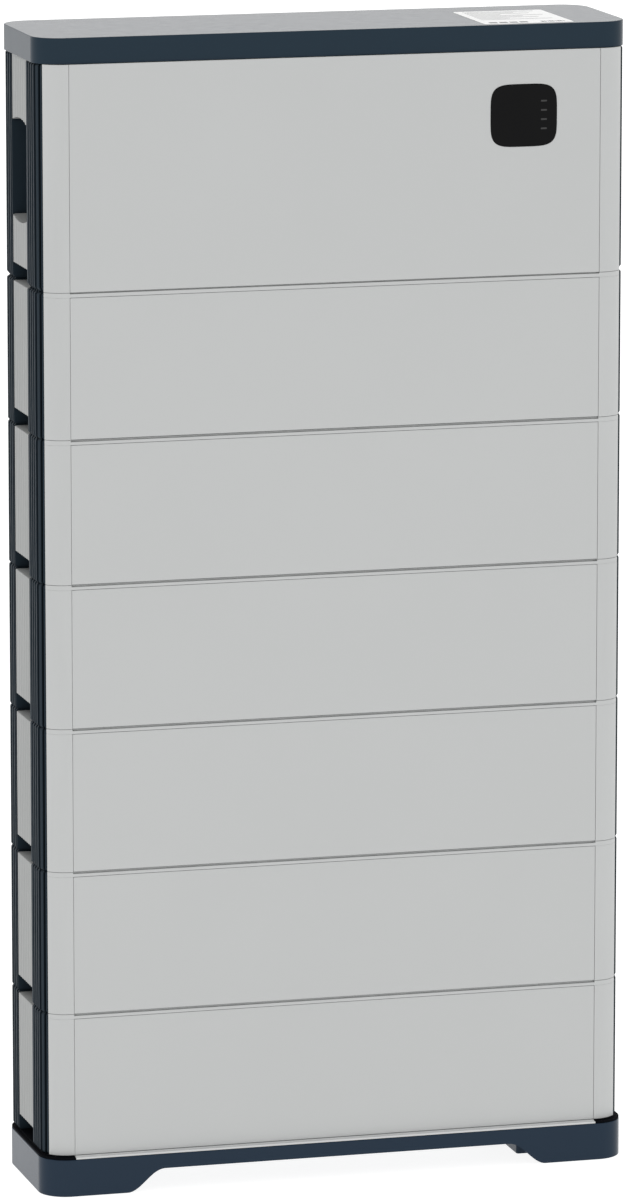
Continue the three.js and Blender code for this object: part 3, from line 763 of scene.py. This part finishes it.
def display():
    """The glass window and its row of four indicator bars."""
    glass = slab(squircle(0), -PANEL_BACK, -DISPLAY_LOW.y, 0.5 * MM, facing_front)
    piece("display_glass_pane", [glass], GLASS, "display", "top_unit", "display_window")
    bar_x, bar_half = 22.2 * MM, Vector((3.3 * MM, 0.9 * MM))
    first, pitch = 15 * MM, 9.85 * MM
    bars = []
    for i in range(4):
        x, z = DISPLAY_CENTRE.x + bar_x, DISPLAY_CENTRE.z + first - i * pitch
        outline = centred_outline(x, z, bar_half.x, bar_half.y, 0.6 * MM)
        face = -DISPLAY_LOW.y
        bars.append(slab(outline, face - 0.3 * MM, face + 0.05 * MM, 0.04 * MM, facing_front))
    piece("display_indicator_bars", bars, INDICATOR, "display", "top_unit")


def top_unit():
    """The taller unit: a window in its panel, and a deep bay in its left end cap."""
    unit = "top_unit"
    housing(unit)
    window = slab(squircle(GAP), -PANEL_BACK - 2 * MM, -FRONT + 2 * MM, 0, facing_front)
    front_panel(unit, [window])
    display()
    bay_outline = box_outline(-HALF_WIDTH - WALL, -BAY_INNER, STRIP_FRONT, STRIP_BACK)
    bay = slab(bay_outline, BAY_BOTTOM - BAY_BULGE, BAY_TOP + BAY_BULGE, 0)
    end_cap(unit, "left", -1, TOP_JOINT_UPPER, COLUMN_CHAMFER, [bay])
    end_cap(unit, "right", 1, TOP_JOINT_UPPER, COLUMN_CHAMFER)
    strip("top_unit_left_upper_strip", unit, -1, lower_dip=BAY_BULGE)
    strip("top_unit_left_lower_strip", unit, -1, upper_dip=BAY_BULGE)
    strip("top_unit_right_strip", unit, 1)


# ---------------------------------------------------------------- cover and plinth
def lid_rings(outline, bottom, top, wall, edge):
    """A lid: up the outside from the rim, and down the inside to a flat ceiling."""
    inner = drawn_in(outline, wall)
    ceiling = top - wall
    rings = [[upright(p.x, p.y, z) for p in inner] for z in (ceiling, bottom)]
    return rings + slab(outline, bottom, top, edge, bottom_edge=0.4 * MM, steps=4)


def rim_outline(node, front, back, radius):
    half = high(node).x
    return round_box_outline(-half, half, front, back, radius, 20)


COVER_RADIUS = 31 * MM
COVER_EDGE = 1.1 * MM


def cover():
    """The slate lid on the top unit."""
    lo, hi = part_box("top_cover")
    outline = rim_outline("top_cover", lo.y, hi.y, COVER_RADIUS)
    rings = lid_rings(outline, lo.z, hi.z, WALL, COVER_EDGE)
    piece("cover_lid", [rings], SLATE, "slate", "top_cover", "top_cover")


LABEL_AREA = (166 * MM, 265 * MM, -77 * MM, 47 * MM)


def label_marks():
    """Outlines of the plain marks on the label: lines, a row of squares and a row of thin bars."""
    left, right, front, back = LABEL_AREA
    margin, line, pitch = 8 * MM, 2 * MM, 9 * MM
    line_lengths = (0.8, 0.55, 0.7, 0.35)
    marks = []
    for row in range(9):
        width = line_lengths[row % len(line_lengths)] * (right - left)
        y = back - margin - line - row * pitch
        marks.append(centred_outline(left + margin + width / 2, y, width / 2, line / 2, 0.5 * MM))
    half = 4.5 * MM
    row_y = front + margin + half
    for column in range(4):
        marks.append(centred_outline(left + margin + half + column * 2.5 * half, row_y, half, half, 1 * MM))
    for column in range(9):
        x = right - margin - column * 3 * MM
        marks.append(centred_outline(x, row_y, (0.5 + 0.4 * (column % 3)) * MM, half, 0.2 * MM))
    return marks


def label():
    """Blank rating label on the cover, with plain marks where a real one is printed."""
    top = high("top_cover").z
    film = slab(round_box_outline(*LABEL_AREA, 3 * MM, 6), top, top + 0.15 * MM, 0.05 * MM)
    piece("cover_label", [film], LABEL, "slate", "top_cover")
    marks = [slab(outline, top + 0.1 * MM, top + 0.2 * MM, 0.03 * MM) for outline in label_marks()]
    piece("cover_label_marks", marks, INK, "slate", "top_cover")


# ---------------------------------------------------------------- plinth, tray and surround
PLINTH_LOW, PLINTH_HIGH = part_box("base_plinth")
PLINTH_RADIUS = 30.6 * MM
DECK = (28 * MM, 34 * MM)  # underside and top of the deck
LIP_DROP = 0.9 * MM  # the tray's lip and the flange are this much lower than the tray's top
RIM_GAP = 0.3 * MM  # between the plinth's rim and what lies on it
FOOT = {"inner": 216 * MM, "front": -47 * MM, "back": PLINTH_HIGH.y - CORNER}
NOTCH = {"ceiling": 193 * MM, "floor": 236 * MM, "height": 24.7 * MM, "bend": 5 * MM}


def plinth_outline(inset=0.0):
    outline = rim_outline("base_plinth", PLINTH_LOW.y, PLINTH_HIGH.y, PLINTH_RADIUS)
    return drawn_in(outline, inset) if inset else outline


def notch():
    """The wide notch, whose flanks are S-shaped curves."""
    ceiling, floor_half, height = NOTCH["ceiling"], NOTCH["floor"], NOTCH["height"]
    near = (ceiling + floor_half) / 2 - NOTCH["bend"]
    far = near + 2 * NOTCH["bend"]
    ends = [Vector(p) for p in ((floor_half, 0), (far, 0), (near, height), (ceiling, height))]
    right = [Vector((floor_half, -WALL)), *bezier(*ends)]
    outline = [*right, *mirror(right)]
    return slab(outline, PLINTH_LOW.y - WALL, PLINTH_HIGH.y + WALL, 0, facing_back)


def plinth():
    """Rim wall, deck and two foot blocks, with every edge softened."""
    top = PLINTH_HIGH.z
    outer = slab(plinth_outline(), 0, top, 0.9 * MM, bottom_edge=0.9 * MM, steps=4)
    pocket = slab(plinth_outline(WALL), DECK[1], top + WALL, 0)
    underside = slab(plinth_outline(WALL), -WALL, DECK[0], 0)
    feet = []
    for side in (-1, 1):
        x0, x1 = sorted((side * FOOT["inner"], side * (PLINTH_HIGH.x - WALL / 2)))
        block = round_box_outline(x0, x1, FOOT["front"], FOOT["back"], 3 * MM, 6)
        feet.append(slab(block, 0, DECK[0] + WALL / 2, 0, bottom_edge=0.8 * MM))
    obj = new_object("plinth_shell", shells_mesh("plinth_shell", [outer]))
    for cut in (pocket, underside, notch()):
        carve(obj, [cut])
    carve(obj, feet, "UNION")
    # the plinth takes the slate copy with painted light, bluer and shinier than the cover
    dress(obj, PLINTH_SLATE_PAINTED_LIGHT, "slate", "base", "base_plinth")


def tray():
    """The light tray, with the lip that shows over the plinth's front, and its bosses."""
    lo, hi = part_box("base_tray")
    top = hi.z - BOSS_HEIGHT
    lip_back = PLINTH_LOW.y + WALL + 1 * MM
    body = slab(round_box_outline(lo.x, hi.x, lip_back - 0.6 * MM, hi.y, 1 * MM, 3), lo.z, top, 0.3 * MM)
    lip_box = box_outline(lo.x, hi.x, lo.y, lip_back)
    lip = slab(lip_box, PLINTH_HIGH.z + RIM_GAP, top - LIP_DROP, 0.35 * MM)
    piece("tray_shell", [body], TRAY, "tray", "base", "base_tray", joins=[lip, *bosses(top)])


def surround():
    """Black ring in the plinth's rounded ends and behind the tray, with its flange over the rim."""
    lo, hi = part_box("base_surround")
    ring = slab(plinth_outline(WALL + GAP), lo.z, hi.z, 0.5 * MM)
    flange = slab(plinth_outline(RIM_GAP), PLINTH_HIGH.z + RIM_GAP, hi.z - LIP_DROP, 0.4 * MM)
    half = SEAM + GAP
    back = high("base_tray").y + GAP
    room = slab(box_outline(-half, half, PLINTH_LOW.y - WALL, back), lo.z - WALL, hi.z + WALL, 0)
    obj = new_object("surround_ring", shells_mesh("surround_ring", [ring]))
    carve(obj, [flange], "UNION")
    carve(obj, [room])
    # the surround's near-black colour is deepened as painted shade
    dress(obj, SURROUND_BLACK_PAINTED_SHADE, "end_cap", "base", "base_surround")


# ---------------------------------------------------------------- screws and bracket
def screw_heads(places, surface, place, radius=4 * MM, height=2 * MM):
    """Low round heads on a surface, and the hexagonal sockets to cut in them."""
    heads, recesses = [], []
    for u, v in places:
        root, face = surface - 0.2 * MM, surface + height
        heads.append(slab(circle_outline(u, v, radius), root, face, 0.8 * MM, place, 0))
        recesses.append(slab(circle_outline(u, v, radius / 2, 6), face - height / 2, face + height, 0, place))
    return heads, recesses


def rear_screws(unit):
    """Four screws hold the housing's rear wall to its frame."""
    bottom, top = unit_span(unit)
    half = low(f"{unit}_right_end_cap").x - GAP
    x, margin = half - 16 * MM, 14 * MM
    radius, height = 3.2 * MM, 0.9 * MM
    places = [(side * x, z) for side in (-1, 1) for z in (bottom + margin, top - margin)]
    heads, recesses = screw_heads(places, BACK, facing_back, radius, height)
    piece(f"{unit}_rear_screws", heads, STEEL, "steel", unit, cuts=recesses)


BRACKET_SHEET = 2 * MM
BRACKET_FOLD = 1128 * MM
BRACKET_STEP = 4 * MM
WALL_SCREW_X = 120 * MM
WALL_SCREW_Z = 1155 * MM


def bracket():
    """Folded steel sheet with rounded bends, its two wall holes and its four screws."""
    lo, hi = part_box("wall_bracket")
    sheet, fold, step = BRACKET_SHEET, BRACKET_FOLD, BRACKET_STEP
    corners = (
        (lo.y, lo.z), (lo.y + sheet, lo.z), (lo.y + sheet, fold), (hi.y, fold + step),
        (hi.y, hi.z), (hi.y - sheet, hi.z), (hi.y - sheet, fold + step + 1 * MM), (lo.y, fold + 1 * MM),
    )
    section = rounded([Vector(corner) for corner in corners], 0.8 * MM, 3)
    folded = slab(section, lo.x, hi.x, 0.3 * MM, along_x)
    holes = []
    for side in (-1, 1):
        outline = circle_outline(side * WALL_SCREW_X, WALL_SCREW_Z, 4.5 * MM)
        holes.append(slab(outline, lo.y - WALL, hi.y + WALL, 0, facing_back))
    piece("bracket_sheet", [folded], STEEL, "steel", "top_unit", "wall_bracket", cuts=holes)
    row = (lo.z + fold) / 2
    places = [(share * hi.x, row) for share in (-0.85, -0.3, 0.3, 0.85)]
    heads, recesses = screw_heads(places, lo.y + sheet, facing_back, 5 * MM, 2.5 * MM)
    piece("bracket_screws", heads, STEEL, "steel", "top_unit", cuts=recesses)


# ---------------------------------------------------------------- switch gear in the side bay
BAY_MIDDLE = (STRIP_FRONT + STRIP_BACK) / 2
ISOLATOR_LOW, ISOLATOR_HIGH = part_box("isolator_body")
PLATE_OUT = -ISOLATOR_HIGH.x - GAP
SOCKET = {"z": 1062 * MM, "spread": 17 * MM, "radius": 8.5 * MM, "wall": 3.5 * MM, "nut": 10.5 * MM}
PORT = {"zs": (1122 * MM, 1138 * MM), "y": BAY_MIDDLE + 14 * MM, "half": Vector((7 * MM, 6 * MM))}
BUTTON_HOLE = 9.5 * MM


def button_centre():
    lo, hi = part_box("power_button")
    return (lo + hi) / 2


def disc(y, z, radius, inner, outer, edge=0.0, count=32):
    """A disc or a round bar that faces left, between two distances from the middle plane."""
    return slab(circle_outline(y, z, radius, count), inner, outer, edge, facing_left, edge / 3)


def connector_plate():
    """Plate with two round power sockets, each behind a nut, two data ports and the button's hole."""
    lo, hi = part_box("connector_panel")
    mouth = -lo.x
    plate = round_box_outline(lo.y, hi.y, lo.z, hi.z, 3 * MM, 6)
    obj = new_object(
        "connector_plate",
        shells_mesh("connector_plate", [slab(plate, -hi.x, PLATE_OUT, 0.7 * MM, facing_left)]),
    )
    tongues = []
    for y in (BAY_MIDDLE - SOCKET["spread"], BAY_MIDDLE + SOCKET["spread"]):
        z, bore = SOCKET["z"], SOCKET["radius"] - SOCKET["wall"]
        nut = disc(y, z, SOCKET["nut"], PLATE_OUT - WALL, PLATE_OUT + 3 * MM, 0.5 * MM, 6)
        tube = disc(y, z, SOCKET["radius"], PLATE_OUT - WALL, mouth, 0.8 * MM)
        carve(obj, [nut], "UNION")
        carve(obj, [tube], "UNION")
        carve(obj, [disc(y, z, bore, mouth - 10 * MM, mouth + WALL)])
        tongues.append(disc(y, z, 2 * MM, mouth - 11 * MM, mouth - 2 * MM, 0.8 * MM))
    for z in PORT["zs"]:
        y, half = PORT["y"], PORT["half"]
        recess = centred_outline(y, z, half.x, half.y, 1 * MM)
        carve(obj, [slab(recess, PLATE_OUT - 3 * MM, PLATE_OUT + WALL, 0, facing_left)])
        tongue = centred_outline(y, z, half.x / 2, 1 * MM, 0.4 * MM)
        tongues.append(slab(tongue, PLATE_OUT - 3.2 * MM, PLATE_OUT - 0.8 * MM, 0.2 * MM, facing_left))
    centre = button_centre()
    carve(obj, [disc(centre.y, centre.z, BUTTON_HOLE, -hi.x - WALL, PLATE_OUT + WALL)])
    dress(obj, SWITCH_GEAR, "switch_gear", "top_unit", "connector_panel")
    piece("connector_pins", tongues, STEEL, "steel", "top_unit")


def power_button():
    """Round cap with a shallow dish in its face."""
    lo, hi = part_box("power_button")
    centre, radius = button_centre(), (hi.z - lo.z) / 2
    cap = disc(centre.y, centre.z, radius, -hi.x, -lo.x, 1.2 * MM, 48)
    dish = disc(centre.y, centre.z, 0.72 * radius, -lo.x - 0.4 * MM, -lo.x + WALL, 0, 48)
    piece("power_button_cap", [cap], BUTTON, "button", "power_button", "power_button", cuts=[dish])


def isolator_case():
    """Square body with a screw sunk in each corner."""
    lo, hi = ISOLATOR_LOW, ISOLATOR_HIGH
    face, sunk, margin = -lo.x, 2.5 * MM, 4.5 * MM
    outline = round_box_outline(lo.y, hi.y, lo.z, hi.z, 4 * MM, 8)
    body = slab(outline, -hi.x, face, 1 * MM, facing_left, 0.3 * MM)
    corners = [(y, z) for y in (lo.y + margin, hi.y - margin) for z in (lo.z + margin, hi.z - margin)]
    wells = [disc(y, z, 2.6 * MM, face - sunk, face + WALL) for y, z in corners]
    piece("isolator_case", [body], SWITCH_GEAR, "switch_gear", "top_unit", "isolator_body", cuts=wells)
    heads, recesses = screw_heads(corners, face - sunk, facing_left, 2.2 * MM, 1.6 * MM)
    piece("isolator_screws", heads, STEEL, "steel", "top_unit", cuts=recesses)


def isolator_knob():
    """Round hub with the grip across it and a light pointer line on the grip."""
    lo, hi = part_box("isolator_handle")
    centre = (lo + hi) / 2
    inner, outer = -hi.x, -lo.x
    across, along = 5 * MM, 15 * MM
    hub = disc(centre.y, centre.z, (hi.z - lo.z) / 2, inner, inner + 5 * MM, 1 * MM, 48)
    shape = centred_outline(centre.y, centre.z, across, along, 4.5 * MM)
    grip = slab(shape, inner + 3 * MM, outer, 1.6 * MM, facing_left, 0, 5)
    name = "isolator_handle"
    piece("isolator_knob", [hub], SWITCH_GEAR, "switch_gear", name, name, joins=[grip])
    mark = centred_outline(centre.y, centre.z + along / 2, 0.8 * MM, along / 4, 0.6 * MM)
    line = slab(mark, outer - 0.3 * MM, outer + 0.1 * MM, 0.05 * MM, facing_left)
    piece("isolator_pointer", [line], LABEL, "switch_gear", "isolator_handle")


def base():
    plinth()
    tray()
    surround()


def side_bay():
    connector_plate()
    power_button()
    isolator_case()
    isolator_knob()


def module_stack():
    for unit in MODULES:
        module(unit)
    top_unit()
    for unit in UNITS:
        rear_screws(unit)


base()
module_stack()
side_bay()
bracket()
cover()
label()

# Materials of the CAD nodes' own meshes, by slot: the cell packs and the control board keep these.
NODE_MATERIALS = {
    "panel": PANEL,
    "housing": HOUSING,
    "tray": TRAY,
    "strip": STRIP,
    "end_cap": END_CAP,
    "slate": SLATE,
    "display": GLASS,
    "cell": CELL,
    "board": BOARD,
    "steel": STEEL,
    "switch_gear": SWITCH_GEAR,
    "button": BUTTON,
}
for subpart in frame["record"]["subparts"]:
    node = frame["nodes"][subpart["node"]]
    node.data.materials.clear()
    node.data.materials.append(NODE_MATERIALS[subpart["material_slot"]])


# ---------------------------------------------------------------- stage, light and camera
def floor():
    """White floor that catches a faint shadow."""
    mesh = shells_mesh("floor", [slab(box_outline(-120, 120, -120, 120), -0.02, 0, 0)])
    obj = new_object("floor", mesh)
    recipe = Recipe("floor_paint", (0.28, 0.28, 0.28), 0.6, specular=0.2)
    recipe.shader.inputs["Emission Color"].default_value = (1, 1, 1, 1)
    recipe.shader.inputs["Emission Strength"].default_value = 0.9
    recipe.shade(recipe.noise(0.8, 2), 0.005)
    recipe.rough(recipe.noise(0.2, 3), 0.05)
    obj.data.materials.append(recipe.material)


def world_light(around, behind, above, horizon):
    """White studio surround: brighter behind the object, overhead and in a band at eye level."""
    world = bpy.data.worlds.new("studio")
    world.use_nodes = True
    tree = world.node_tree
    background = tree.nodes["Background"]
    background.inputs["Color"].default_value = (1, 1, 1, 1)
    axes = tree.nodes.new("ShaderNodeSeparateXYZ")
    direction = tree.nodes.new("ShaderNodeTexCoord").outputs["Generated"]
    tree.links.new(direction, axes.inputs["Vector"])

    def math_node(operation, *values):
        node = tree.nodes.new("ShaderNodeMath")
        node.operation = operation
        for socket, value in zip(node.inputs, values):
            tree.links.new(value, socket)
        return node.outputs["Value"]

    def glow(value, reach, lowest, highest):
        node = tree.nodes.new("ShaderNodeMapRange")
        node.interpolation_type = "SMOOTHSTEP"
        node.inputs["From Max"].default_value = reach
        node.inputs["To Min"].default_value = lowest
        node.inputs["To Max"].default_value = highest
        tree.links.new(value, node.inputs["Value"])
        return node.outputs["Result"]

    depth = glow(axes.outputs["Y"], 1.0, around, around + behind)
    height = glow(axes.outputs["Z"], 1.0, 0.0, above)
    band = glow(math_node("ABSOLUTE", axes.outputs["Z"]), 0.15, horizon, 0.0)
    total = math_node("ADD", depth, math_node("ADD", height, band))
    tree.links.new(total, background.inputs["Strength"])
    bpy.context.scene.world = world


def camera():
    """The photographed view: a long lens from the left of the front, looking a little down."""
    lo, hi = CAD_BOX
    aim = (lo + hi) / 2 + Vector((-0.9 * MM, 0, -3.3 * MM))
    azimuth, elevation, distance = math.radians(15.464), math.radians(10.584), 8.278
    back = Vector((-math.sin(azimuth), -math.cos(azimuth), math.tan(elevation)))
    data = bpy.data.cameras.new("camera")
    data.lens = 230.05
    data.sensor_width = 36
    data.clip_end = 100
    obj = new_object("camera", data)
    obj.location = aim + back.normalized() * distance
    obj.rotation_euler = (-back).to_track_quat("-Z", "Y").to_euler()
    bpy.context.scene.camera = obj


floor()
world_light(around=0.70, behind=0.45, above=0.3, horizon=0.3)
camera()
bpy.context.scene.view_settings.view_transform = "Standard"
